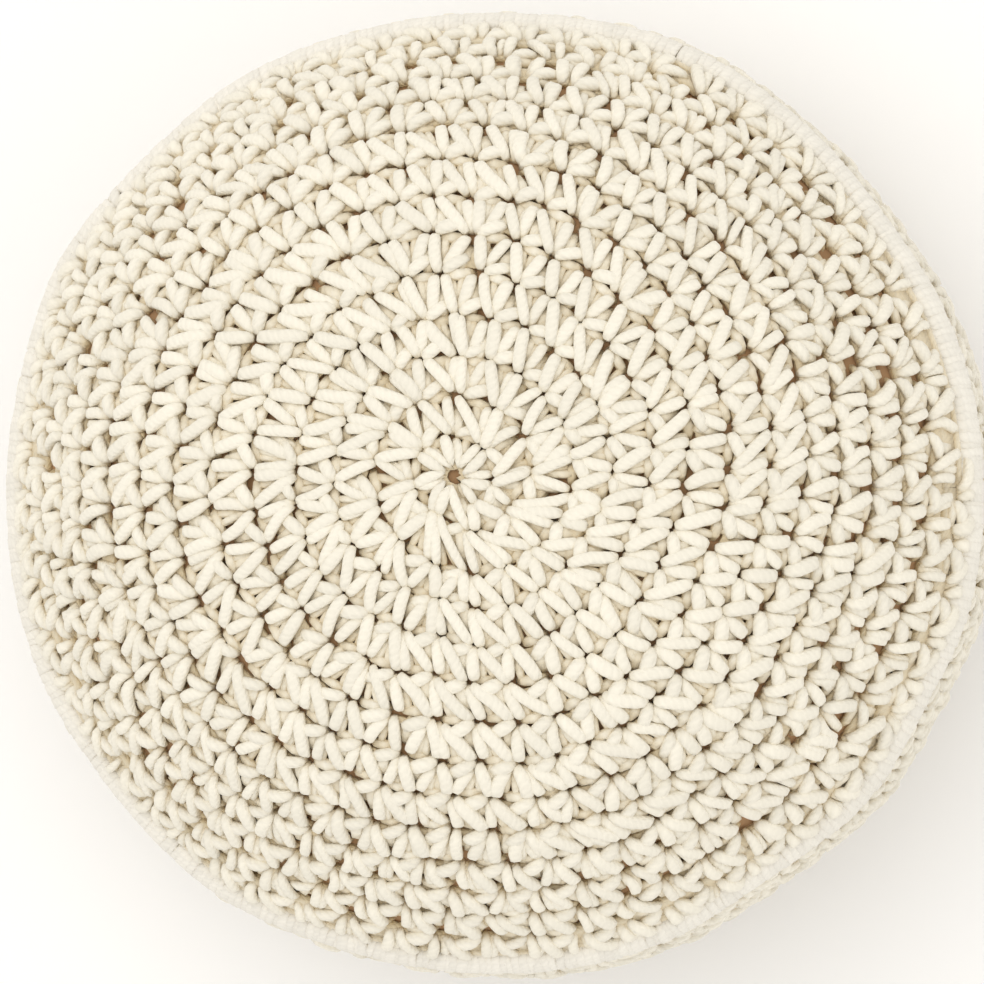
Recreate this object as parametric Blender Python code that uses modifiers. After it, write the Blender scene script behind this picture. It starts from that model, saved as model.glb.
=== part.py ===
# A round crochet pouf: one filled body of cotton cord, crocheted in rounds from the middle of
# its crown, and the round of upright stitches that stands proud at its rim.
# Metres, +Z up. The origin is on the floor, under the middle of the pouf.

import math

import bpy
import numpy as np

COLLECTION_NAME = "crochet_pouf"
BODY_NAME = "pouf_body"
RIM_NAME = "rim_round"

# Every round is as tall as one stitch, measured along the surface. A slope is how far the round
# leans below level: 0 is flat crown, 90 is upright wall, and past 90 it turns under.
ROUND_PITCH = 0.0197
CROWN_SLOPES_DEG = (0, 1, 2, 4, 7, 12, 18, 25, 32, 39, 44, 48, 50, 51)
WALL_SLOPES_DEG = (83, 87, 89, 91, 94, 98, 103, 111)
FOOT_SLOPES_DEG = (124, 146, 168)

# The soft ridge that each round raises: where along the round a point sits, and how much of
# the full rise it has. A round starts in the valley where the last one ended.
RIDGE_RISE = 0.0030
RIDGE_POINTS = (
    {"along": 0.00, "share": 0.00},
    {"along": 0.32, "share": 1.00},
    {"along": 0.70, "share": 0.90},
)

# The rim round is a flattened roll, ribbed by its upright stitches, set in a groove under the
# free edge of the crown.
STITCHES_AT_RIM = 60
RIBS_PER_STITCH = 2
ROLL_HALF_LENGTH = 0.0088  # half of its section, measured down the slope
ROLL_HALF_THICK = 0.0056  # half of its section, measured through it
ROLL_SLOPE_DEG = 62
ROLL_OUT_FROM_EDGE = 0.0026  # its middle, outside the crown's free edge
ROLL_BELOW_EDGE = 0.0104  # its middle, below the crown's free edge
ROLL_SECTION_POINTS = 8
RIB_RISE = 0.0007
SEAT_GAP = 0.0004

# The crown's edge turns in by this much before the groove, which follows the roll's inner half.
EDGE_TUCK_IN = 0.0020
EDGE_TUCK_DOWN = 0.0016

# The filled body is a little oval, and hand work and use have pushed its outline in and out.
OVAL_PUSH = 0.0040
OVAL_AT_DEG = -10
OUTLINE_LOBES = (
    {"at_deg": 35, "push": -0.0045, "half_width_deg": 12},
    {"at_deg": 67, "push": 0.0040, "half_width_deg": 11},
    {"at_deg": 120, "push": 0.0030, "half_width_deg": 9},
    {"at_deg": 152, "push": 0.0050, "half_width_deg": 9},
    {"at_deg": 200, "push": 0.0025, "half_width_deg": 12},
    {"at_deg": 235, "push": 0.0045, "half_width_deg": 12},
    {"at_deg": 306, "push": -0.0075, "half_width_deg": 12},
    {"at_deg": 333, "push": -0.0050, "half_width_deg": 8},
)
FOOT_SHARE_OF_PUSH = 0.5  # the foot is held rounder than the rim

# The rim line rises and falls gently, and the crown has a shallow seat in its middle.
RIM_WAVE_RISE = 0.0020
RIM_WAVES = 3
RIM_WAVE_AT_DEG = 40
SEAT_DIP = 0.0025
SEAT_HALF_WIDTH = 0.070

SEGMENTS = STITCHES_AT_RIM
MERGE_DISTANCE = 0.00001
SHADE_ANGLE_DEG = 60


# ---- the meridian ----


def walk(start, slopes_deg):
    # The valley points between rounds, each one round further down the surface.
    points = [start]
    for slope in slopes_deg:
        r, z = points[-1]
        lean = math.radians(slope)
        points.append((r + ROUND_PITCH * math.cos(lean), z - ROUND_PITCH * math.sin(lean)))
    return points


def ridged(valleys):
    # The rounds between these valleys, each raised outwards as a soft ridge.
    points = []
    for (r0, z0), (r1, z1) in zip(valleys, valleys[1:]):
        length = math.hypot(r1 - r0, z1 - z0)
        out_r, out_z = (z0 - z1) / length, (r1 - r0) / length
        for row in RIDGE_POINTS:
            rise = RIDGE_RISE * row["share"]
            r = r0 + (r1 - r0) * row["along"] + out_r * rise
            z = z0 + (z1 - z0) * row["along"] + out_z * rise
            points.append((r, z))
    return points


def roll_section(middle, grow, share_of_turn):
    # Points round the roll's oval, grown by a clearance, from its upper end down its inner side.
    lean = math.radians(ROLL_SLOPE_DEG)
    down = (math.cos(lean), -math.sin(lean))
    out = (math.sin(lean), math.cos(lean))
    points = []
    for step in range(round(ROLL_SECTION_POINTS * share_of_turn) + 1):
        turn = math.pi + math.tau * step / ROLL_SECTION_POINTS
        along = (ROLL_HALF_LENGTH + grow) * math.cos(turn)
        across = (ROLL_HALF_THICK + grow) * math.sin(turn)
        r = middle[0] + down[0] * along + out[0] * across
        z = middle[1] + down[1] * along + out[1] * across
        points.append((r, z))
    return points


def pouf_meridian():
    # The body's profile from the middle of the crown down to the floor, with its crown at
    # height 0, and the middle of the roll's section.
    crown = walk((0.0, 0.0), CROWN_SLOPES_DEG)
    edge_r, edge_z = crown[-1]
    roll = (edge_r + ROLL_OUT_FROM_EDGE, edge_z - ROLL_BELOW_EDGE)
    groove = roll_section(roll, SEAT_GAP, 0.5)
    wall = walk(groove[-1], WALL_SLOPES_DEG)
    foot = walk(wall[-1], FOOT_SLOPES_DEG)
    profile = ridged(crown)
    profile.append((edge_r, edge_z))
    profile.append((edge_r - EDGE_TUCK_IN, edge_z - EDGE_TUCK_DOWN))
    profile += groove[:-1]
    profile += ridged(wall)
    profile += ridged(foot)
    profile.append(foot[-1])
    profile.append((0.0, foot[-1][1]))
    return profile, roll, -foot[-1][1]


# ---- hand-made unevenness ----


def turned_by(angles_deg, at_deg):
    # How far each angle lies from another, from -180 to 180 degrees.
    return (angles_deg - at_deg + 180) % 360 - 180


def settled(points, height, reach):
    # Moves points by one smooth rule, so that pieces that fit each other still do. The rule
    # grows from nothing at the axis to its full amount at the widest radius, the reach.
    x, y, z = points.T
    radius = np.hypot(x, y)
    angles = np.degrees(np.arctan2(y, x))
    push = OVAL_PUSH * np.cos(2 * np.radians(angles - OVAL_AT_DEG))
    for lobe in OUTLINE_LOBES:
        away = turned_by(angles, lobe["at_deg"]) / lobe["half_width_deg"]
        push += lobe["push"] * np.exp(-(away**2))
    level = np.clip(z / height, 0, 1)
    push *= FOOT_SHARE_OF_PUSH + (1 - FOOT_SHARE_OF_PUSH) * level
    outward = np.clip(radius / reach, 0, 1)
    stretch = 1 + push / reach * outward**3
    wave = RIM_WAVE_RISE * np.sin(RIM_WAVES * np.radians(angles - RIM_WAVE_AT_DEG))
    lift = wave * outward**2 * level**2
    lift -= SEAT_DIP * np.exp(-((radius / SEAT_HALF_WIDTH) ** 2)) * level**2
    return np.column_stack((x * stretch, y * stretch, z + lift))


# ---- building ----


def start_scene():
    for obj in list(bpy.data.objects):
        bpy.data.objects.remove(obj, do_unlink=True)
    collection = bpy.data.collections.new(COLLECTION_NAME)
    bpy.context.scene.collection.children.link(collection)
    return collection


def cotton(name, color, roughness):
    material = bpy.data.materials.new(name)
    material.use_nodes = True
    shader = material.node_tree.nodes["Principled BSDF"]
    shader.inputs["Base Color"].default_value = (*color, 1.0)
    shader.inputs["Roughness"].default_value = roughness
    shader.inputs["Metallic"].default_value = 0.0
    return material


def turned_solid(name, profile, closed, segments, collection):
    # A profile in the X-Z plane turned about Z by a Screw modifier, which is then applied so
    # that the turned points can be moved.
    mesh = bpy.data.meshes.new(name + "_profile")
    edges = [(i, i + 1) for i in range(len(profile) - 1)]
    if closed:
        edges.append((len(profile) - 1, 0))
    mesh.from_pydata([(r, 0.0, z) for r, z in profile], edges, [])
    turned = bpy.data.objects.new(name + "_profile", mesh)
    collection.objects.link(turned)
    screw = turned.modifiers.new("turn", "SCREW")
    screw.steps = segments
    screw.render_steps = segments
    screw.use_merge_vertices = True
    screw.merge_threshold = MERGE_DISTANCE
    bpy.context.view_layer.update()
    graph = bpy.context.evaluated_depsgraph_get()
    solid_mesh = bpy.data.meshes.new_from_object(turned.evaluated_get(graph))
    solid_mesh.name = name
    bpy.data.objects.remove(turned, do_unlink=True)
    solid = bpy.data.objects.new(name, solid_mesh)
    collection.objects.link(solid)
    return solid


def points_of(obj):
    points = np.empty(len(obj.data.vertices) * 3)
    obj.data.vertices.foreach_get("co", points)
    return points.reshape(-1, 3)


def put_points(obj, points):
    obj.data.vertices.foreach_set("co", points.ravel())
    obj.data.update()


def make_body(profile, height, collection):
    # The floor presses flat what would reach below it.
    raised = [(r, max(z + height, 0.0)) for r, z in profile]
    return turned_solid(BODY_NAME, raised, False, SEGMENTS, collection)


def make_rim(roll, height, collection):
    # The roll's ribs are raised on its outer side only, so its seat stays smooth.
    middle = (roll[0], roll[1] + height)
    section = roll_section(middle, 0.0, 1.0)[:-1][::-1]
    ribs = STITCHES_AT_RIM * RIBS_PER_STITCH
    rim = turned_solid(RIM_NAME, section, True, 2 * ribs, collection)
    points = points_of(rim)
    x, y, z = points.T
    radius = np.hypot(x, y)
    lean = math.radians(ROLL_SLOPE_DEG)
    outside = (radius - middle[0]) * math.sin(lean) + (z - middle[1]) * math.cos(lean)
    share = np.clip(outside / ROLL_HALF_THICK, 0, 1)
    rise = RIB_RISE * share * np.cos(ribs * np.arctan2(y, x))
    grown = (radius + rise * math.sin(lean)) / radius
    put_points(rim, np.column_stack((x * grown, y * grown, z + rise * math.cos(lean))))
    return rim


def centre_on_origin(objects):
    # The origin is under the middle of the whole part's box.
    everything = np.vstack([points_of(obj) for obj in objects])
    middle = (everything.min(axis=0) + everything.max(axis=0)) / 2
    for obj in objects:
        put_points(obj, points_of(obj) - (middle[0], middle[1], 0.0))


profile, roll, height = pouf_meridian()
reach = max(r for r, z in profile)

collection = start_scene()
body = make_body(profile, height, collection)
rim = make_rim(roll, height, collection)
for obj in (body, rim):
    put_points(obj, settled(points_of(obj), height, reach))
centre_on_origin((body, rim))

body.data.materials.append(cotton("natural_cotton_cord", (0.87, 0.80, 0.68), 0.9))
rim.data.materials.append(cotton("natural_cotton_rim", (0.84, 0.79, 0.68), 0.9))
for obj in (body, rim):
    obj.data.shade_smooth()
    obj.data.set_sharp_from_angle(angle=math.radians(SHADE_ANGLE_DEG))
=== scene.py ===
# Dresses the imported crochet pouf: every stitch of its cotton-cord cover, the ribbed round at its
# rim, the inside that shows through the holes, and a plain floor with soft light and the camera.

import bpy
import numpy as np
from mathutils import Matrix, Vector


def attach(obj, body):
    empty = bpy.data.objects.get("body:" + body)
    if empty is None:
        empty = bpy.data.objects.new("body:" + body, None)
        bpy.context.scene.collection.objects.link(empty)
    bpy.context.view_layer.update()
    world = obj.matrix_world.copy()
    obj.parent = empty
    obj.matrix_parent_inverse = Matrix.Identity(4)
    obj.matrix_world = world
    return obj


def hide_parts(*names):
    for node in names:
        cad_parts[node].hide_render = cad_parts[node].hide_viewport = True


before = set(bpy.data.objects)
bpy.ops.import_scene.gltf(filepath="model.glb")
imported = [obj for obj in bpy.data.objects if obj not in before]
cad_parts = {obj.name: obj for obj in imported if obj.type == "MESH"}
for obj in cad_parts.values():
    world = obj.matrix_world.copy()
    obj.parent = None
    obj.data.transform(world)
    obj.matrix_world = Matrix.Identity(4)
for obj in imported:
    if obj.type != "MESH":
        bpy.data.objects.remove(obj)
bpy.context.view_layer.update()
rng = np.random.default_rng(7)
millimetre = 0.001
wholeTurn = 2 * np.pi


# the shape of the filled pouf, with the sizes of its CAD solid

pouf = {  # lengths in metres, slopes and directions in degrees
    "roundPitch": 0.0197,  # one round of single crochet, measured down the surface
    "crownSlopes": (0, 1, 2, 4, 7, 12, 18, 25, 32, 39, 44, 48, 50, 51),  # below level, round by round
    "wallSlopes": (83, 87, 89, 91, 94, 98, 103, 111),
    "footSlopes": (124, 146, 168),
    "baseRounds": 10,
    "rollHalfLength": 0.0088,  # the roll that the rim round is worked over
    "rollHalfThick": 0.0056,
    "rollSlope": 62,
    "rollOut": 0.0026,
    "rollBelow": 0.0104,
    "seatGap": 0.0004,
    "ovalPush": 0.0040,
    "ovalAt": -10,
    "footShare": 0.5,  # how much of the outline's unevenness is left at the floor
    "rimWave": 0.0020,  # the rim line's rise and fall
    "rimWaves": 3,
    "rimWaveAt": 40,
    "seatDip": 0.0025,  # the shallow seat in the crown
    "seatHalfWidth": 0.070,
    "floorEase": 0.0015,  # below this height the floor begins to flatten the cover
    "cordProud": 0.003,  # the cord stands this far off the middle of the cover
    "bellyRounds": (2, 6),  # the widest rounds of the wall, which the pouf is centred by
    "lobes": (  # where hand work and use pushed the outline in and out
        {"at": 35, "push": -0.0045, "halfWidth": 12},
        {"at": 67, "push": 0.0040, "halfWidth": 11},
        {"at": 120, "push": 0.0030, "halfWidth": 9},
        {"at": 152, "push": 0.0050, "halfWidth": 9},
        {"at": 200, "push": 0.0025, "halfWidth": 12},
        {"at": 235, "push": 0.0045, "halfWidth": 12},
        {"at": 306, "push": -0.0075, "halfWidth": 12},
        {"at": 333, "push": -0.0050, "halfWidth": 8},
    ),
}


def walk(start, slopes, pitch):
    points = [start]
    for slope in slopes:
        r, z = points[-1]
        lean = np.radians(slope)
        points.append((r + pitch * np.cos(lean), z - pitch * np.sin(lean)))
    return points


def rollPoint(middle, along, across):
    lean = np.radians(pouf["rollSlope"])
    r = middle[0] + along * np.cos(lean) + across * np.sin(lean)
    z = middle[1] - along * np.sin(lean) + across * np.cos(lean)
    return r, z


crownLine = walk((0.0, 0.0), pouf["crownSlopes"], pouf["roundPitch"])
rollMiddle = (crownLine[-1][0] + pouf["rollOut"], crownLine[-1][1] - pouf["rollBelow"])
wallTop = rollPoint(rollMiddle, pouf["rollHalfLength"] + pouf["seatGap"], 0.0)
sideSlopes = pouf["wallSlopes"] + pouf["footSlopes"]
sideLine = walk(wallTop, sideSlopes, pouf["roundPitch"])
basePitch = sideLine[-1][0] / pouf["baseRounds"]
sideLine += walk(sideLine[-1], (180,) * pouf["baseRounds"], basePitch)[1:]
height = -sideLine[-1][1]
crownLine = np.array(crownLine) + (0.0, height)
sideLine = np.array(sideLine) + (0.0, height)
rollMiddle = (rollMiddle[0], rollMiddle[1] + height)
reach = sideLine[:, 0].max() + pouf["cordProud"]


def bend(a, b, c, d):
    # what a smooth curve from b to c takes from the points a before it and d after it
    return 2 * a - 5 * b + 4 * c - d, 3 * b - a - 3 * c + d


def between(a, b, c, d, t):
    square, cube = bend(a, b, c, d)
    return 0.5 * (2 * b + (c - a) * t + square * t**2 + cube * t**3)


def onLine(line, rounds):
    # radius, height and outward direction at a place counted in rounds, on one smooth curve
    first = 2 * line[0] - line[1]
    last = 2 * line[-1] - line[-2]
    knots = np.vstack((first, line, last, 2 * last - line[-1]))
    index = np.clip(np.floor(rounds).astype(int), 0, len(line) - 2)
    t = (rounds - index)[..., None]
    a, b, c, d = (knots[index + step] for step in range(4))
    point = between(a, b, c, d, t)
    square, cube = bend(a, b, c, d)
    slope = 0.5 * ((c - a) + 2 * square * t + 3 * cube * t**2)
    slope /= np.linalg.norm(slope, axis=-1, keepdims=True)
    return point[..., 0], point[..., 1], -slope[..., 1], slope[..., 0]


def settled(x, y, z):
    # the uneven outline, the rise and fall of the rim line and the shallow seat in the crown
    radius = np.hypot(x, y)
    angle = np.degrees(np.arctan2(y, x))
    push = pouf["ovalPush"] * np.cos(2 * np.radians(angle - pouf["ovalAt"]))
    for lobe in pouf["lobes"]:
        away = ((angle - lobe["at"] + 180) % 360 - 180) / lobe["halfWidth"]
        push = push + lobe["push"] * np.exp(-(away**2))
    level = np.clip(z / height, 0, 1)
    push = push * (pouf["footShare"] + (1 - pouf["footShare"]) * level)
    outward = np.clip(radius / reach, 0, 1)
    stretch = 1 + push / reach * outward**3
    wave = pouf["rimWave"] * np.sin(pouf["rimWaves"] * np.radians(angle - pouf["rimWaveAt"]))
    lift = wave * outward**2 * level**2
    lift = lift - pouf["seatDip"] * np.exp(-((radius / pouf["seatHalfWidth"]) ** 2)) * level**2
    return np.stack((x * stretch, y * stretch, z + lift), axis=-1)


def pressed(points):
    # the floor flattens what would reach below it, and keeps what lies over what
    ease = pouf["floorEase"]
    below = np.minimum(points[..., 2] - ease, 0)
    points[..., 2] = np.where(points[..., 2] < ease, ease * np.exp(below / ease), points[..., 2])
    return points


# the crochet as it lies on that shape: one long spiral, pulled on a little unevenly by hand

cover = {
    "crownRounds": 14,
    "firstRound": 0.5,  # what is nearer the middle than this crowds together there
    "firstEase": 0.32,
    "hangingRound": 0.3,  # the same for the wall's first round, just under the rim
    "hangingEase": 0.3,
    "lastEase": 0.4,  # and for the last rounds before an edge
    "overRim": 0.25,  # the crown's edge may hang this far over the rim
    "baseShort": 0.25,  # and the base stops this short of its middle
    "startTurn": np.radians(415),
    "climbs": (  # where the spiral climbs a round: in its start, first and second rounds, and then on
        {"share": 0.44, "at": (60, 5, 30, 5), "width": (110, 44, 60, 44)},
        {"share": 0.56, "at": (78, 78, 100, 78), "width": (40, 50, 80, 40)},
    ),
    "middleShift": (-0.0046, 0.0031),  # the middle of the crown sits this far off the pouf's own
    "slackAt": 205,  # the side where the rounds lie looser and slide down toward the rim
    "slack": 0.40,
    "slide": ((0, 4, 7, 10, 12, 14), (0, 0, 0.4, 1, 1, 0.4)),  # how much of the slack each round takes
    "waves": {  # slow waves in the rows, as hands make them: size, times round, slant and start
        "sideways": ((0.9, 7, 1.9, 0), (0.7, 13, -2.6, 1.2)),  # millimetres
        "outward": ((0.05, 5, 1.7, 0.5), (0.05, 17, -1.1, 0)),  # rounds
        "fullAt": 6,  # rounds; nearer the middle they fade, down to the least share
        "least": 0.2,
        "radius": 200 * millimetre,  # where the sideways sizes hold
    },
    "looseReach": 7 * millimetre,
    "looseSpan": 5 * millimetre,
    "looseRadius": 10 * millimetre,  # keeps those near the middle from swinging round it
    "loosePlaces": (  # stitches pulled open: degrees clockwise, round, millimetres
        {"at": 278, "round": 2.0, "open": 1.6},
        {"at": 267, "round": 3.1, "open": 1.4},
        {"at": 27, "round": 4.2, "open": 1.4},
        {"at": 3, "round": 6.0, "open": 2.0},
        {"at": 35, "round": 9.8, "open": 2.0},
        {"at": 266, "round": 9.3, "open": 2.2},
        {"at": 118, "round": 11.1, "open": 2.6},
        {"at": 33, "round": 12.4, "open": 2.6},
        {"at": 52, "round": 12.9, "open": 3.2},
        {"at": 296, "round": 13.4, "open": 2.6},
        {"at": 352, "round": 13.5, "open": 2.4},
    ),
}


def smoothStep(values):
    t = np.clip(values, 0, 1)
    return t * t * (3 - 2 * t)


def rowLine(turn):
    # the round that the spiral has reached, where turn goes on counting past a full circle
    degrees = np.degrees(turn)
    full = np.floor((degrees + 60) / 360)
    within = degrees - 360 * full
    drop = 0
    for climb in cover["climbs"]:
        at = np.interp(1 - full, (0, 1, 2, 3), climb["at"])
        width = np.interp(1 - full, (0, 1, 2, 3), climb["width"])
        drop = drop + climb["share"] * smoothStep((within - at) / width + 0.5)
    return 2 - full - drop


def waved(turn, rounds):
    waves = cover["waves"]
    sway = {}
    for way in ("sideways", "outward"):
        sway[way] = sum(
            size * np.sin(times * turn + slant * rounds + start)
            for size, times, slant, start in waves[way]
        )
    grow = np.clip(rounds / waves["fullAt"], waves["least"], 1)
    turn = turn + sway["sideways"] * grow * millimetre / waves["radius"]
    return turn, rounds + sway["outward"] * grow


def openLoosePlaces(turn, rounds, radius):
    for spot in cover["loosePlaces"]:
        across = ((turn - np.radians(spot["at"]) + np.pi) % wholeTurn - np.pi) * radius
        down = (rounds - spot["round"]) * pouf["roundPitch"]
        fade = np.exp(-(across**2 + down**2) / (2 * cover["looseReach"]**2))
        pull = spot["open"] * millimetre * fade / cover["looseSpan"]
        turn = turn + across * pull / np.maximum(radius, cover["looseRadius"])
        rounds = rounds + down * pull / pouf["roundPitch"]
    return turn, rounds


def heldBefore(rounds, last):
    # the last rounds crowd together instead of running past the edge
    ease = cover["lastEase"]
    past = np.maximum(rounds, last - ease) - last + ease
    return np.where(rounds > last - ease, last - ease * np.exp(-past / ease), rounds)


def heldAfter(rounds, first, ease):
    # and the first ones crowd together instead of running into the middle
    short = np.minimum(rounds, first) - first
    return np.where(rounds < first, first - ease + ease * np.exp(short / ease), rounds)


def onCrown(turn, rounds):
    # where a place of the worked spiral comes to lie on the crown
    rounds = heldAfter(rounds, cover["firstRound"], cover["firstEase"])
    turn, rounds = waved(turn, rounds)
    slide = np.interp(rounds, *cover["slide"])
    rounds = rounds + cover["slack"] * (1 + np.cos(turn - np.radians(cover["slackAt"]))) * slide
    rounds = heldBefore(rounds, cover["crownRounds"] + cover["overRim"])
    radius = np.interp(rounds, np.arange(len(crownLine)), crownLine[:, 0])
    turn, rounds = openLoosePlaces(turn, rounds, radius)
    radius = np.interp(rounds, np.arange(len(crownLine)), crownLine[:, 0], right=np.nan)
    beyond = np.isnan(radius)
    extra = (rounds - cover["crownRounds"]) * (crownLine[-1, 0] - crownLine[-2, 0])
    radius = np.where(beyond, crownLine[-1, 0] + extra, radius)
    fade = 1 - np.clip(radius / crownLine[-1, 0], 0, 1) ** 4
    x = radius * np.cos(turn) + cover["middleShift"][0] * fade
    y = radius * np.sin(turn) - cover["middleShift"][1] * fade
    found = np.interp(np.hypot(x, y), crownLine[:, 0], np.arange(len(crownLine)))
    return np.arctan2(y, x), np.where(beyond, rounds, found)


def onSide(turn, rounds):
    # and on the wall, the foot and the base, where the first round hangs from the rim
    turn, rounds = waved(turn, rounds)
    rounds = heldAfter(rounds, cover["hangingRound"], cover["hangingEase"])
    return turn, heldBefore(rounds, len(sideLine) - 1 - cover["baseShort"])


def place(line, turn, rounds, lift):
    # turn runs clockwise seen from above, in radians; lift is metres off the cover's middle
    r, z, outR, outZ = onLine(line, rounds)
    r = r + outR * lift
    z = z + outZ * lift
    spot = settled(r * np.cos(-turn), r * np.sin(-turn), z)
    return pressed(spot) - centreShift


centreShift = np.zeros(3)
turns = np.linspace(0, wholeTurn, 721)
belly = np.vstack([
    place(sideLine, turns, np.full_like(turns, row), pouf["cordProud"])
    for row in np.linspace(*pouf["bellyRounds"], 9)
])
centreShift = np.array([*(belly.min(axis=0) + belly.max(axis=0))[:2] / 2, 0.0])
print("surface ready:", "height", round(height, 4), "shift", centreShift.round(5))


# sweeping cord along many paths at once

def meshFrom(name, points, faces, faceSizes, uvs, attributes):
    mesh = bpy.data.meshes.new(name)
    mesh.vertices.add(len(points))
    mesh.vertices.foreach_set("co", points.astype(np.float32).ravel())
    mesh.loops.add(len(faces))
    mesh.loops.foreach_set("vertex_index", faces.astype(np.int32))
    mesh.polygons.add(len(faceSizes))
    starts = np.concatenate(([0], np.cumsum(faceSizes)[:-1]))
    mesh.polygons.foreach_set("loop_start", starts.astype(np.int32))
    mesh.update(calc_edges=True)
    layer = mesh.uv_layers.new(name="cordMap")
    layer.data.foreach_set("uv", uvs.astype(np.float32).ravel())
    for title, values in attributes.items():
        attribute = mesh.attributes.new(title, "FLOAT", "POINT")
        attribute.data.foreach_set("value", values.astype(np.float32).ravel())
    mesh.validate()
    mesh.shade_smooth()
    piece = bpy.data.objects.new(name, mesh)
    bpy.context.scene.collection.objects.link(piece)
    return piece


cord = {
    "fullness": 0.64,  # pressed cord is flatter than an ellipse, whose fullness is 1
    "floorGap": 0.2 * millimetre,  # and lies flat where it rests on the floor
}


def smoothed(knots, count):
    # a curve through the knots of each strand, with count points; knots is (strands, knots, values)
    before = 2 * knots[:, :1] - knots[:, 1:2]
    after = 2 * knots[:, -1:] - knots[:, -2:-1]
    extended = np.concatenate((before, knots, after), axis=1)
    at = np.linspace(0, knots.shape[1] - 1, count)
    index = np.minimum(np.floor(at).astype(int), knots.shape[1] - 2)
    t = (at - index)[None, :, None]
    a, b, c, d = (extended[:, index + step] for step in range(4))
    return between(a, b, c, d, t)


def cordSkin(line, knots, rings, sides, lay=None):
    # knots hold turn, rounds, lift, half width and half thickness for each strand
    way = smoothed(knots, rings)
    turn, rounds, lift, wide, thick = (way[..., i] for i in range(5))
    if lay:
        turn, rounds = lay(turn, rounds)
    middle = place(line, turn, rounds, lift)
    above = place(line, turn, rounds, lift + millimetre) - middle
    above /= np.linalg.norm(above, axis=-1, keepdims=True)
    along = np.gradient(middle, axis=1)
    along /= np.linalg.norm(along, axis=-1, keepdims=True)
    across = np.cross(along, above)
    across /= np.linalg.norm(across, axis=-1, keepdims=True)
    top = np.cross(across, along)
    phase = np.linspace(0, wholeTurn, sides, endpoint=False)
    overCos = np.sign(np.cos(phase)) * np.abs(np.cos(phase)) ** cord["fullness"]
    overSin = np.sign(np.sin(phase)) * np.abs(np.sin(phase)) ** cord["fullness"]
    ring = middle[:, :, None] + across[:, :, None] * (wide[..., None] * overCos)[..., None]
    ring = ring + top[:, :, None] * (thick[..., None] * overSin)[..., None]
    strands = len(knots)
    points = ring.reshape(-1, 3)
    points[:, 2] = np.maximum(points[:, 2], cord["floorGap"])
    number = np.arange(strands * rings * sides).reshape(strands, rings, sides)
    nextSide = np.roll(number, -1, axis=2)
    quads = np.stack((number[:, :-1], nextSide[:, :-1], nextSide[:, 1:], number[:, 1:]), axis=-1)
    caps = np.concatenate((number[:, 0, ::-1], number[:, -1]))
    steps = np.linalg.norm(np.diff(middle, axis=1), axis=-1) / millimetre
    run = np.concatenate((np.zeros((strands, 1)), np.cumsum(steps, axis=1)), axis=1)
    roundabout = wholeTurn * (wide + thick).mean() / 2 / millimetre / sides
    u = np.broadcast_to(run[:, :, None], (strands, rings, sides))
    v0 = np.broadcast_to(np.arange(sides) * roundabout, (strands, rings, sides))
    uv = np.stack((u[:, :-1], v0[:, :-1], u[:, :-1], v0[:, :-1] + roundabout), axis=-1)
    uvNext = np.stack((u[:, 1:], v0[:, 1:] + roundabout, u[:, 1:], v0[:, 1:]), axis=-1)
    quadUv = np.concatenate((uv, uvNext), axis=-1).reshape(-1, 2)
    capUv = np.zeros((caps.size, 2))
    faces = np.concatenate((quads.ravel(), caps.ravel()))
    sizes = np.concatenate((np.full(quads.size // 4, 4), np.full(len(caps), sides)))
    tone = np.repeat(rng.uniform(-1, 1, strands), rings * sides)
    depth = (lift[..., None] + thick[..., None] * np.sin(phase)) / millimetre
    return points, faces, sizes, np.concatenate((quadUv, capUv)), tone, depth.ravel()


def joinedCords(name, skins):
    points, faces, sizes, uvs, tones, depths = [], [], [], [], [], []
    count = 0
    for skin in skins:
        points.append(skin[0])
        faces.append(skin[1] + count)
        sizes.append(skin[2])
        uvs.append(skin[3])
        tones.append(skin[4])
        depths.append(skin[5])
        count += len(skin[0])
    attributes = {"strandTone": np.concatenate(tones), "depth": np.concatenate(depths)}
    piece = meshFrom(name, np.concatenate(points), np.concatenate(faces), np.concatenate(sizes),
                     np.concatenate(uvs), attributes)
    triangles = int((np.concatenate(sizes) - 2).sum())
    print(f"{name}: {triangles} triangles")
    return piece


# single crochet

stitch = {
    "drift": 0.30,  # how far each round's holes step on past the last round's, in stitches
    "holeJitter": 0.05,
    "sharedSpread": 0.38,  # how far two stitches in one hole stand apart in it
    "aloneSpread": 0.10,
    "halfWidth": 3.15 * millimetre,  # the cord is 6 to 7 mm across, pressed a little flat
    "halfThick": 2.55 * millimetre,
    "loopGirth": 0.96,
    "tension": 0.06,  # two sides are worked tighter and two looser, so the cord is thinner or thicker
    "strandHalfWidth": 2.1 * millimetre,
    "outerStrandHalfWidth": 2.5 * millimetre,
    "outerStrandLift": 1.0 * millimetre,
    "crowdShare": 0.3,  # near the middle the legs share a small circle, so the cord is squeezed
    "crowdRadius": 4 * millimetre,
    "uneven": {
        "rounds": 0.022,
        "lift": 0.4 * millimetre,
        "girth": 0.06,
        "top": 0.02,
        "foot": 0.045,
        "bow": 0.03,
    },
}
byRound = {  # what changes from the middle out: rounds, then values
    "size": ((0, 3, 7, 9, 14), (0.91, 0.97, 1.03, 1.01, 0.93)),
    "tall": ((1, 4, 7), (1.22, 1.16, 1.0)),  # the first rounds are worked longer
    "haste": ((0, 3, 5, 7, 10), (1.6, 1.3, 0.9, 0.9, 1.5)),  # and the outer ones less evenly
    "drawnIn": ((8, 11), (0, 1)),  # the outer rounds are pulled together, so their stitches open less
    "strandsRaised": ((7.5, 10), (0, 1)),
    "strandsSunk": ((2, 6), (0.7, 0)),  # millimetres
    "loopsRaised": ((2, 5), (0, 1)),
}

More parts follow.
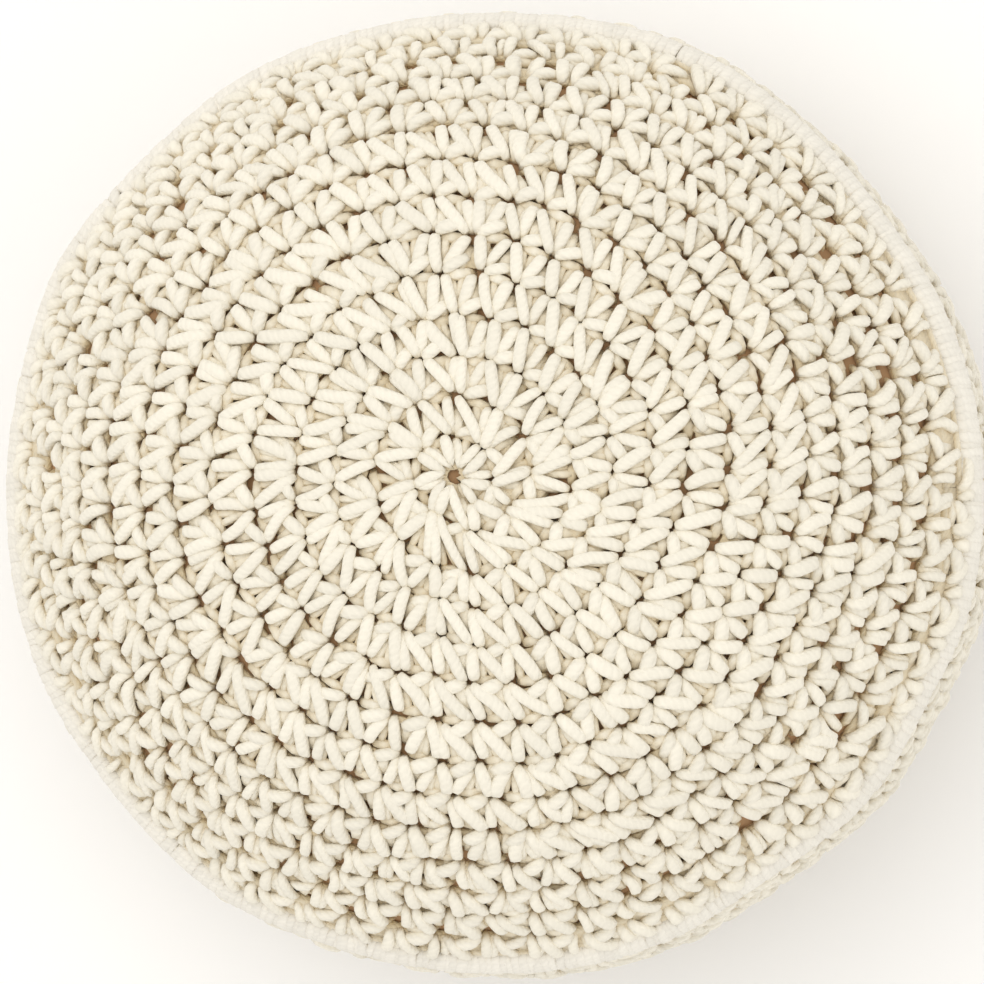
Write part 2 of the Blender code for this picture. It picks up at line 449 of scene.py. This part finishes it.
# rings and sides of each cord: fine on the crown, plainer on the wall and below it
fine = {"leg": (9, 9), "loop": (7, 8), "far": (5, 6), "strand": (6, 7)}
plain = {"leg": (7, 7), "loop": (6, 7), "far": (5, 5), "strand": (4, 4)}

# knots of one stitch: "rounds" runs from the last hole line to the next, "lean" from the old hole to
# the new one, "lift" and "rise" are millimetres, and places along a round are shares of a stitch
leftLeg = {
    "fromTop": -0.07, "toFoot": -0.87, "drawnIn": (-0.03, 0.08),
    "rounds": (0.15, 0.19, 0.33, 0.53, 0.76, 0.86, 0.91),
    "lean": (0.00, 0.05, 0.28, 0.58, 0.85, 0.97, 1.00),
    "lift": (-4.4, -0.4, 1.1, 1.1, 0.5, -0.8, -4.6),
    "girth": (0.50, 0.86, 1.04, 1.06, 1.02, 0.84, 0.46),
}
rightLeg = {
    "fromTop": 0.12, "toFoot": -0.12, "drawnIn": (0.04, -0.06),
    "rounds": (0.17, 0.22, 0.35, 0.54, 0.75, 0.85, 0.90),
    "lean": (0.00, 0.06, 0.30, 0.60, 0.86, 0.97, 1.01),
    "lift": (-5.0, -2.4, -0.5, 0.5, 0.5, -0.8, -4.6),
    "girth": (0.46, 0.74, 0.94, 1.02, 1.00, 0.82, 0.46),
}
frontLoop = {
    "turn": (0.15, 0.21, 0.34, 0.49, 0.64, 0.75),
    "drawnIn": (0.10, 0.10, 0.08, 0.06, 0.04, 0.02),
    "rounds": (0.06, 0.09, 0.15, 0.23, 0.32, 0.40),
    "lift": (-4.6, -1.8, -0.7, -0.8, -1.7, -4.8),
    "rise": (0, 1.2, 1.4, 1.4, 1.2, 0),
    "girth": (0.56, 0.92, 1.08, 1.10, 0.98, 0.58),
}
innerStrand = {  # between the two legs: deep in the middle rounds, level with the legs in the outer ones
    "fromTop": 0.02, "toFoot": (-0.64, -0.35), "drawnIn": (0.0, 0.0),
    "rounds": (0.20, 0.42, 0.66, 0.86, 0.98),
    "lean": (0.16, 0.48, 0.76, 0.94, 1.00),
    "lift": (-4.6, -2.9, -2.3, -3.0, -5.4),
    "girth": (0.70, 1.00, 1.10, 1.00, 0.60),
}
farLoop = {  # the far strand of the chain on top of each round, from hole to hole
    "turn": (0.09, 0.27, 0.50, 0.73, 0.91),
    "drawnIn": (0, 0, 0, 0, 0),
    "rounds": (0.00, -0.03, -0.03, -0.01, 0.01),
    "lift": (-8.0, -4.0, -3.0, -4.0, -8.0),
    "rise": (0, 0.3, 0.5, 0.3, 0),
    "girth": (0.60, 0.90, 1.00, 0.90, 0.60),
}
farLeg = {  # the far side of the stitch, seen between the legs in front
    "fromTop": 0.46, "toFoot": 0.05, "drawnIn": (0.0, 0.0),
    "rounds": (0.08, 0.24, 0.44, 0.64, 0.78),
    "lean": (0.00, 0.20, 0.50, 0.80, 1.00),
    "lift": (-5.2, -3.0, -2.4, -3.6, -6.2),
    "girth": (0.80, 1.05, 1.15, 1.05, 0.60),
}


stitches = {  # to a round: about six more in each on the crown, and six fewer in each on the base
    "crownRounds": (1, 2, 3, 4, 5, 6, 7, 8, 10),
    "crownCounts": (7, 12.6, 22.5, 28.5, 33.5, 36, 46, 51, 60),
    "full": 60,
    "fewer": 6,
}


def crownStitches(rounds):
    return np.interp(rounds, stitches["crownRounds"], stitches["crownCounts"])


def sideStitches(rounds):
    onBase = rounds - (len(sideLine) - 1 - pouf["baseRounds"])
    return np.clip(stitches["full"] - stitches["fewer"] * onBase, stitches["fewer"], stitches["full"])


def holeTurns(stitchesIn, startTurn, endRound):
    # the turn of every hole along the spiral, counting down as the work goes anticlockwise
    turns, counts = [], []
    turn = startTurn
    while rowLine(turn) < endRound:
        count = float(stitchesIn(rowLine(turn)))
        turns.append(turn)
        counts.append(count)
        turn -= wholeTurn / count * (1 - stitch["drift"] / count)
    turns, counts = np.array(turns), np.array(counts)
    pulled = turns + rng.normal(0, stitch["holeJitter"], len(turns)) * wholeTurn / counts
    return {"turn": turns, "pulled": pulled, "count": counts}


def nearestHole(turns, wanted):
    # turns count down, so they are searched the other way round
    rising = turns[::-1]
    after = np.clip(np.searchsorted(rising, wanted), 1, len(rising) - 1)
    nearer = np.where(wanted - rising[after - 1] < rising[after] - wanted, after - 1, after)
    return len(turns) - 1 - nearer


def crochet(line, lay, stitchesIn, holes, keep, detail, roundsBefore=0):
    # the cord skins of the stitches kept, one stitch to a hole of the spiral
    pitch = wholeTurn / holes["count"][keep]
    foot = holes["pulled"][keep] + wholeTurn
    worked = holes["turn"][keep] + wholeTurn - stitch["drift"] * pitch
    first = worked > holes["turn"][0] + 0.5 * pitch
    under = nearestHole(holes["turn"], worked)
    fresh = ~first & (under != np.roll(under, 1))  # two stitches in one hole share its chain
    old = np.where(first, worked, holes["pulled"][under])
    shared = (under == np.roll(under, 1)) | (under == np.roll(under, -1))
    spread = np.where(shared, stitch["sharedSpread"], stitch["aloneSpread"])
    top = old + np.where(first, 0, spread * (worked - holes["turn"][under]))
    oldPitch = wholeTurn / stitchesIn(np.maximum(rowLine(old), 1))
    row = rowLine(worked) + roundsBefore

    def atRow(name):
        return np.interp(row, *byRound[name])[:, None]

    size = atRow("size") * (1 + stitch["tension"] * np.sin(2 * foot) * np.clip(row / 6, 0, 1))[:, None]
    legThick = (stitch["halfWidth"] * size, stitch["halfThick"] * size)
    loopThick = (stitch["loopGirth"] * legThick[0], stitch["loopGirth"] * legThick[1])

    def unevenly(what):
        return rng.normal(0, stitch["uneven"][what], (len(foot), 1)) * atRow("haste")

    def crowd(rounds):
        radius = np.interp(rounds, np.arange(len(line)), line[:, 0])
        return stitch["crowdShare"] * pitch[:, None] * np.maximum(radius, stitch["crowdRadius"])

    def knotsOf(shape, turn, thick, stretch=1.0):
        # rounds, lift and thickness along one part of every stitch, each a little uneven
        base = np.where(first[:, None], 0, rowLine(turn))
        along = 0.5 + (np.array(shape["rounds"])[None, :] - 0.5) * stretch
        rounds = base + (rowLine(turn - wholeTurn) - base) * along + unevenly("rounds")
        lift = np.array(shape["lift"])[None, :] * millimetre + unevenly("lift")
        girth = np.array(shape["girth"])[None, :] * (1 + unevenly("girth"))
        wide = np.minimum(girth * thick[0], crowd(rounds))
        return np.stack((turn, rounds, lift, wide, np.minimum(girth * thick[1], wide)), axis=-1)

    def fromTopToFoot(shape, toFoot):
        lean = np.array(shape["lean"])[None, :]
        narrow = atRow("drawnIn")[:, 0]
        atTop = shape["fromTop"] + narrow * shape["drawnIn"][0]
        atFoot = toFoot + narrow * shape["drawnIn"][1]
        start = (top + atTop * pitch)[:, None] + unevenly("top") * pitch[:, None]
        end = (foot + atFoot * pitch)[:, None] + unevenly("foot") * pitch[:, None]
        bow = unevenly("bow") * pitch[:, None] * np.sin(np.pi * np.clip(lean, 0, 1))
        return start * (1 - lean) + end * lean + bow

    def legSkin(leg, rings, sides):
        shaped = knotsOf(leg, fromTopToFoot(leg, leg["toFoot"]), legThick, atRow("tall"))
        return cordSkin(line, shaped, rings, sides, lay)

    def strandSkin(toFoot, rings, sides):
        raised = atRow("strandsRaised")
        sunk = atRow("strandsSunk") * millimetre
        wide = stitch["strandHalfWidth"] * (1 - raised) + stitch["outerStrandHalfWidth"] * raised
        shaped = knotsOf(innerStrand, fromTopToFoot(innerStrand, toFoot), (wide, wide))
        shaped[..., 2] += raised * stitch["outerStrandLift"] - sunk
        return cordSkin(line, shaped, rings, sides, lay)

    def loopSkin(loop, rings, sides):
        along = np.array(loop["turn"])[None, :] + np.array(loop["drawnIn"])[None, :] * atRow("drawnIn")
        shaped = knotsOf(loop, old[:, None] + along * oldPitch[:, None], loopThick)
        shaped[..., 2] += np.array(loop["rise"])[None, :] * atRow("loopsRaised") * millimetre
        return cordSkin(line, shaped[fresh], rings, sides, lay)

    skins = [legSkin(leg, *detail["leg"]) for leg in (leftLeg, rightLeg)]
    skins.append(legSkin(farLeg, *detail["far"]))
    skins += [strandSkin(toFoot, *detail["strand"]) for toFoot in innerStrand["toFoot"]]
    skins.append(loopSkin(frontLoop, *detail["loop"]))
    skins.append(loopSkin(farLoop, *detail["far"]))
    return skins


# cord that runs on round behind the stitches, seen between them

back = {
    "behind": 0.44,  # rounds past the hole line, so the holes stay open
    "waver": 0.04,
    "wavers": 31,
    "flatness": 0.45,
    "sides": 5,
    "pointsPerRound": 100,
    "seamPoints": 121,
    "crown": {"lift": -4.4 * millimetre, "halfWidth": 6.0 * millimetre},
    "side": {"lift": -5.2 * millimetre, "halfWidth": 7.6 * millimetre},
    "seam": (  # two more turns close the crown under the rim
        {"round": 13.6, "lift": -4.6 * millimetre, "halfWidth": 6.8 * millimetre},
        {"round": 14.1, "lift": -3.3 * millimetre, "halfWidth": 4.4 * millimetre},
    ),
}


def backCord(line, lay, turn, rounds, size):
    wide = np.full_like(turn, size["halfWidth"])
    lift = np.full_like(turn, size["lift"])
    rounds = rounds + back["waver"] * np.sin(back["wavers"] * turn)
    knots = np.stack((turn, rounds, lift, wide, wide * back["flatness"]), axis=-1)[None]
    return cordSkin(line, knots, len(turn), back["sides"], lay)


def spiralBack(line, lay, turns, size):
    count = back["pointsPerRound"] * len(turns) // stitches["full"]
    turn = np.linspace(turns[0] + wholeTurn, turns[-1] + wholeTurn, count)
    return backCord(line, lay, turn, rowLine(turn) + back["behind"], size)


def seamBack(size):
    turn = np.linspace(0, wholeTurn, back["seamPoints"])
    return backCord(crownLine, None, turn, np.full_like(turn, size["round"]), size)


# the spiral is split by rounds, so that no piece grows too heavy

spiral = {
    "crownPieces": {"crownInner": (0, 8), "crownMiddle": (8, 11.5), "crownOuter": (11.5, 15)},
    "crownLast": 13.9,  # no stitch starts further out than this, as the rim covers it
    "crownBackLast": 13.6,
    "sidePieces": {
        "wallUpper": (0.25, 4.5),
        "wallLower": (4.5, 8.5),
        "footCover": (8.5, 12.5),
        "baseCover": (12.5, len(sideLine) - 0.5),
    },
    "sideFirst": 0.25,
    "sideLast": len(sideLine) - 1.4,
}


def inRounds(holes, first, last, lastStart):
    # the stitches that end between two rounds and start before a third
    ending = rowLine(holes["turn"])
    starting = rowLine(holes["turn"] + wholeTurn)
    return (ending >= first) & (ending < last) & (starting < lastStart)


crownHoles = holeTurns(crownStitches, cover["startTurn"], cover["crownRounds"] + 1)
crownPieces = []
for name, rounds in spiral["crownPieces"].items():
    keep = inRounds(crownHoles, *rounds, spiral["crownLast"])
    skins = crochet(crownLine, onCrown, crownStitches, crownHoles, keep, fine)
    crownPieces.append(joinedCords(name, skins))
keep = inRounds(crownHoles, 0, cover["crownRounds"] + 1, spiral["crownBackLast"])
crownPieces.append(joinedCords("crownBack", [
    spiralBack(crownLine, onCrown, crownHoles["turn"][keep], back["crown"]),
    *[seamBack(size) for size in back["seam"]],
]))

sideHoles = holeTurns(sideStitches, cover["startTurn"] + 2 * wholeTurn, len(sideLine) - 0.5)
sidePieces = []
for name, rounds in spiral["sidePieces"].items():
    keep = inRounds(sideHoles, *rounds, spiral["sideLast"])
    skins = crochet(sideLine, onSide, sideStitches, sideHoles, keep, plain, cover["crownRounds"])
    sidePieces.append(joinedCords(name, skins))
keep = inRounds(sideHoles, spiral["sideFirst"], len(sideLine), len(sideLine))
sidePieces.append(joinedCords("sideBack", [
    spiralBack(sideLine, onSide, sideHoles["turn"][keep], back["side"]),
]))


# the rim round: close upright stitches over a roll

rim = {
    "ribsPerStitch": 7,
    "halfWidth": 3.1 * millimetre,
    "girth": (0.8, 0.95, 1, 1.05, 1, 0.95, 0.8),  # along one rib, from under the crown to the wall
    "relief": 0.42,
    "proud": 0.6 * millimetre,  # the ribs stand this far off the roll
    "wrap": (200, -20),  # degrees round the roll
    "wrapPoints": 12,
    "wrapShort": 0.2,  # the ribs end this many points short of the wrap at both ends
    "uneven": {"turn": 0.10, "lean": 0.35, "girth": 0.13, "lift": 0.16 * millimetre},
    "rings": 8,
    "sides": 6,
}


def rollLine():
    angles = np.radians(np.linspace(*rim["wrap"], rim["wrapPoints"]))
    along = (pouf["rollHalfLength"] - rim["proud"]) * np.cos(angles)
    across = (pouf["rollHalfThick"] - rim["proud"]) * np.sin(angles)
    return np.array([rollPoint(rollMiddle, a, b) for a, b in zip(along, across)])


def rimSkins():
    line = rollLine()
    spread = rim["uneven"]
    count = stitches["full"] * rim["ribsPerStitch"]
    steps = len(rim["girth"])
    pitch = wholeTurn / count
    turn = (np.arange(count) * pitch + rng.normal(0, spread["turn"], count) * pitch)[:, None]
    lean = pitch * rng.normal(0, spread["lean"], (count, 1))
    wrapped = np.linspace(rim["wrapShort"], len(line) - 1 - rim["wrapShort"], steps)
    rounds = wrapped[None, :] + np.zeros((count, 1))
    turn = turn + lean * np.linspace(-1, 1, steps)[None, :]
    wide = rng.normal(1, spread["girth"], (count, 1)) * np.array(rim["girth"])[None, :] * rim["halfWidth"]
    lift = rng.normal(0, spread["lift"], (count, steps))
    knots = np.stack((turn, rounds, lift, wide, wide * rim["relief"]), axis=-1)
    return [cordSkin(line, knots, rim["rings"], rim["sides"])]


rimRibs = joinedCords("rimRibs", rimSkins())


# the inside of the cover, which shows through the holes, coloured brown as painted shade

inside = {
    "lift": -6.0 * millimetre,
    "columns": 180,
    "crown": (0.15, 13.9, 56),  # first round, last round and how many rows of points
    "side": (0.3, 20.8, 84),
    # painted shade: the brown stands for the shade deep in the holes
    "colour": "#b08c68",
    "roughness": 1.0,
}


def shellPiece(name, parts):
    # each part is a line and its rounds; the parts follow each other down the surface
    columns = inside["columns"]
    turn = np.linspace(0, wholeTurn, columns, endpoint=False)
    rows = []
    for line, rounds in parts:
        for row in np.linspace(*rounds):
            rows.append(place(line, turn, np.full(columns, row), inside["lift"]))
    points = np.concatenate(rows)
    number = np.arange(len(points)).reshape(len(rows), columns)
    nextColumn = np.roll(number, -1, axis=1)
    quads = np.stack((number[:-1], number[1:], nextColumn[1:], nextColumn[:-1]), axis=-1)
    caps = np.concatenate((number[0], number[-1, ::-1]))
    faces = np.concatenate((quads.ravel(), caps))
    sizes = np.concatenate((np.full(quads.size // 4, 4), (columns, columns)))
    return meshFrom(name, points, faces, sizes, np.zeros((len(faces), 2)), {})


filledInside = shellPiece("filledInside", ((crownLine, inside["crown"]), (sideLine, inside["side"])))
print("inside closed")


# materials

def linear(hexColour):
    channels = [int(hexColour[i : i + 2], 16) / 255 for i in (1, 3, 5)]
    return tuple(c / 12.92 if c <= 0.04045 else ((c + 0.055) / 1.055) ** 2.4 for c in channels) + (1.0,)


def node(tree, kind, settings=(), links=()):
    # adds a node, sets its properties or sockets, and joins sockets to others' outputs
    made = tree.nodes.new(kind)
    for key, value in dict(settings).items():
        if isinstance(key, int) or key in made.inputs:
            made.inputs[key].default_value = value
        else:
            setattr(made, key, value)
    for key, source in dict(links).items():
        tree.links.new(source, made.inputs[key])
    return made


cordLook = {
    "cream": "#ece6d7",
    "rimCream": "#eae5da",  # the rim is a shade greyer
    "paintedShadeTan": "#d6c39c",  # painted shade: tan on what lies deep in the cover
    "sunkFrom": -4.0,  # millimetres off the middle of the cover, where the painted shade is full
    "sunkTo": 0.7,
    "strandTone": 0.035,  # one strand is this much lighter or darker than the next
    "mottle": (0.96, 1.04),
    "roughness": 0.92,
    "specular": 0.2,
    "sheen": 0.15,
    "sheenRoughness": 0.5,
    "fibreLength": 5.556,  # millimetres; real fibres are far finer, these are drawn coarse to show
    "fibreWidth": 1.667,
    "plySpacing": 2.2214,  # millimetres across one twisted ply
    "plyWander": 2.2,
    "plyShare": 0.28,  # how deep the plies lie against the fibres
    "reliefDepth": 1.0 * millimetre,
    "reliefStrength": 0.7,
}


def cottonCord(name, light):
    # unbleached cotton, spun, plied and laid into a soft cord: matt, with fine lengthwise fibres,
    # faint slanting plies and painted tan shade where the cord lies deep between the stitches
    material = bpy.data.materials.new(name)
    material.use_nodes = True
    tree = material.node_tree
    shader = tree.nodes["Principled BSDF"]
    shader.inputs["Roughness"].default_value = cordLook["roughness"]
    shader.inputs["IOR"].default_value = 1.5
    shader.inputs["Specular IOR Level"].default_value = cordLook["specular"]
    shader.inputs["Sheen Weight"].default_value = cordLook["sheen"]
    shader.inputs["Sheen Roughness"].default_value = cordLook["sheenRoughness"]

    uv = node(tree, "ShaderNodeUVMap", {"uv_map": "cordMap"})
    fibreScale = (1 / cordLook["fibreLength"], 1 / cordLook["fibreWidth"], 1.0)
    stretch = node(tree, "ShaderNodeMapping", {"Scale": fibreScale}, {"Vector": uv.outputs[0]})
    fibre = node(tree, "ShaderNodeTexNoise", {"Scale": 1.0, "Detail": 3.0}, {"Vector": stretch.outputs[0]})
    # the bands of the wave slant at 45 degrees, and ten turns of it go to a unit
    plyScale = wholeTurn / (10 * np.sqrt(2) * cordLook["plySpacing"])
    plies = node(tree, "ShaderNodeTexWave", {
        "bands_direction": "DIAGONAL",
        "Scale": plyScale,
        "Distortion": cordLook["plyWander"],
        "Detail": 2.0,
        "Detail Scale": 1.5,
    }, {"Vector": uv.outputs[0]})
    relief = node(tree, "ShaderNodeMath", {"operation": "MULTIPLY_ADD", 1: cordLook["plyShare"]},
                  {0: plies.outputs["Fac"], 2: fibre.outputs[0]})
    bump = node(tree, "ShaderNodeBump",
                {"Strength": cordLook["reliefStrength"], "Distance": cordLook["reliefDepth"]},
                {"Height": relief.outputs[0]})
    tree.links.new(bump.outputs[0], shader.inputs["Normal"])

    # painted shade: the deeper the cord lies in the cover, the more it is tinted tan
    depth = node(tree, "ShaderNodeAttribute", {"attribute_name": "depth"})
    sunk = node(tree, "ShaderNodeMapRange",
                {1: cordLook["sunkFrom"], 2: cordLook["sunkTo"], 3: 1.0, 4: 0.0},
                {0: depth.outputs["Fac"]})
    base = node(tree, "ShaderNodeMix",
                {"data_type": "RGBA", 6: linear(light), 7: linear(cordLook["paintedShadeTan"])},
                {0: sunk.outputs[0]})
    tone = node(tree, "ShaderNodeAttribute", {"attribute_name": "strandTone"})
    vary = node(tree, "ShaderNodeMapRange",
                {1: -1.0, 2: 1.0, 3: 1 - cordLook["strandTone"], 4: 1 + cordLook["strandTone"]},
                {0: tone.outputs["Fac"]})
    mottled = node(tree, "ShaderNodeMapRange",
                   {1: 0.3, 2: 0.95, 3: cordLook["mottle"][0], 4: cordLook["mottle"][1]},
                   {0: relief.outputs[0]})
    value = node(tree, "ShaderNodeMath", {"operation": "MULTIPLY"},
                 {0: vary.outputs[0], 1: mottled.outputs[0]})
    toned = node(tree, "ShaderNodeHueSaturation", {}, {"Value": value.outputs[0], "Color": base.outputs[2]})
    tree.links.new(toned.outputs[0], shader.inputs["Base Color"])
    return material


def plainMaterial(name, colour, roughness):
    material = bpy.data.materials.new(name)
    material.use_nodes = True
    shader = material.node_tree.nodes["Principled BSDF"]
    shader.inputs["Base Color"].default_value = linear(colour)
    shader.inputs["Roughness"].default_value = roughness
    return material


cordFinish = cottonCord("laidCottonCord", cordLook["cream"])
rimFinish = cottonCord("laidCottonRim", cordLook["rimCream"])
# the back of the cover: brown painted shade for the deep holes, without shine
insidePaintedShade = plainMaterial("cottonBackPaintedShade", inside["colour"], inside["roughness"])

for piece in crownPieces + sidePieces:
    piece.data.materials.append(cordFinish)
    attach(piece, "root")
    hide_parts("pouf_body")
rimRibs.data.materials.append(rimFinish)
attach(rimRibs, "root")
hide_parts("rim_round")
filledInside.data.materials.append(insidePaintedShade)
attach(filledInside, "root")
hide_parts("pouf_body")
print("pieces dressed")


# floor, light and camera

studio = {
    "floorHalf": 30.0,
    "floorColour": "#fbfaf9",  # matt white paint, which shows soft shadows and no gloss
    "floorRoughness": 0.9,
    "softboxes": {  # disks of soft light, metres across and watts
        "keySoftbox": {"spot": (-0.6, 0.7, 2.6), "across": 2.2, "power": 16.8, "colour": (1.0, 0.98, 0.95)},
        "fillSoftbox": {"spot": (1.5, -1.2, 1.8), "across": 2.0, "power": 4, "colour": (1.0, 0.99, 0.98)},
    },
    "roomColour": (1.0, 0.99, 0.97, 1.0),
    "roomLight": 0.95,
    "aimShare": 0.6,  # lights and camera aim this far up the pouf
}

half = studio["floorHalf"]
corners = [(-half, -half, 0), (half, -half, 0), (half, half, 0), (-half, half, 0)]
floorMesh = bpy.data.meshes.new("floor")
floorMesh.from_pydata(corners, [], [(0, 1, 2, 3)])
floor = bpy.data.objects.new("floor", floorMesh)
bpy.context.scene.collection.objects.link(floor)
floorPaint = plainMaterial("palePaintedFloor", studio["floorColour"], studio["floorRoughness"])
floorMesh.materials.append(floorPaint)

poufMiddle = Vector((0.0, 0.0, height * studio["aimShare"]))
for name, softbox in studio["softboxes"].items():
    data = bpy.data.lights.new(name, "AREA")
    data.shape = "DISK"
    data.size = softbox["across"]
    data.energy = softbox["power"]
    data.color = softbox["colour"]
    light = bpy.data.objects.new(name, data)
    light.location = softbox["spot"]
    light.rotation_euler = (poufMiddle - Vector(softbox["spot"])).to_track_quat("-Z", "Y").to_euler()
    bpy.context.scene.collection.objects.link(light)

world = bpy.data.worlds.new("studio")
bpy.context.scene.world = world
world.use_nodes = True
background = world.node_tree.nodes["Background"]
background.inputs["Color"].default_value = studio["roomColour"]
background.inputs["Strength"].default_value = studio["roomLight"]

view = {  # from almost straight above: degrees, and metres to the pouf and across the view
    "tilt": 7.2,
    "towards": -19.0,
    "distance": 3.0,
    "width": 0.503,
    "sensorWidth": 36,
}

tilt = np.radians(view["tilt"])
towards = np.radians(view["towards"])
direction = Vector((np.sin(tilt) * np.cos(towards), np.sin(tilt) * np.sin(towards), np.cos(tilt)))
cameraData = bpy.data.cameras.new("camera")
camera = bpy.data.objects.new("camera", cameraData)
bpy.context.scene.collection.objects.link(camera)
camera.location = poufMiddle + direction * view["distance"]
right = Vector((0, 1, 0)).cross(direction).normalized()
upward = direction.cross(right)
camera.rotation_euler = Matrix((right, upward, direction)).transposed().to_euler()
cameraData.sensor_width = view["sensorWidth"]
cameraData.lens = view["sensorWidth"] * view["distance"] / view["width"]
cameraData.clip_end = 100
bpy.context.scene.camera = camera

bpy.context.scene.view_settings.view_transform = "Standard"
print("floor, lights and camera set")
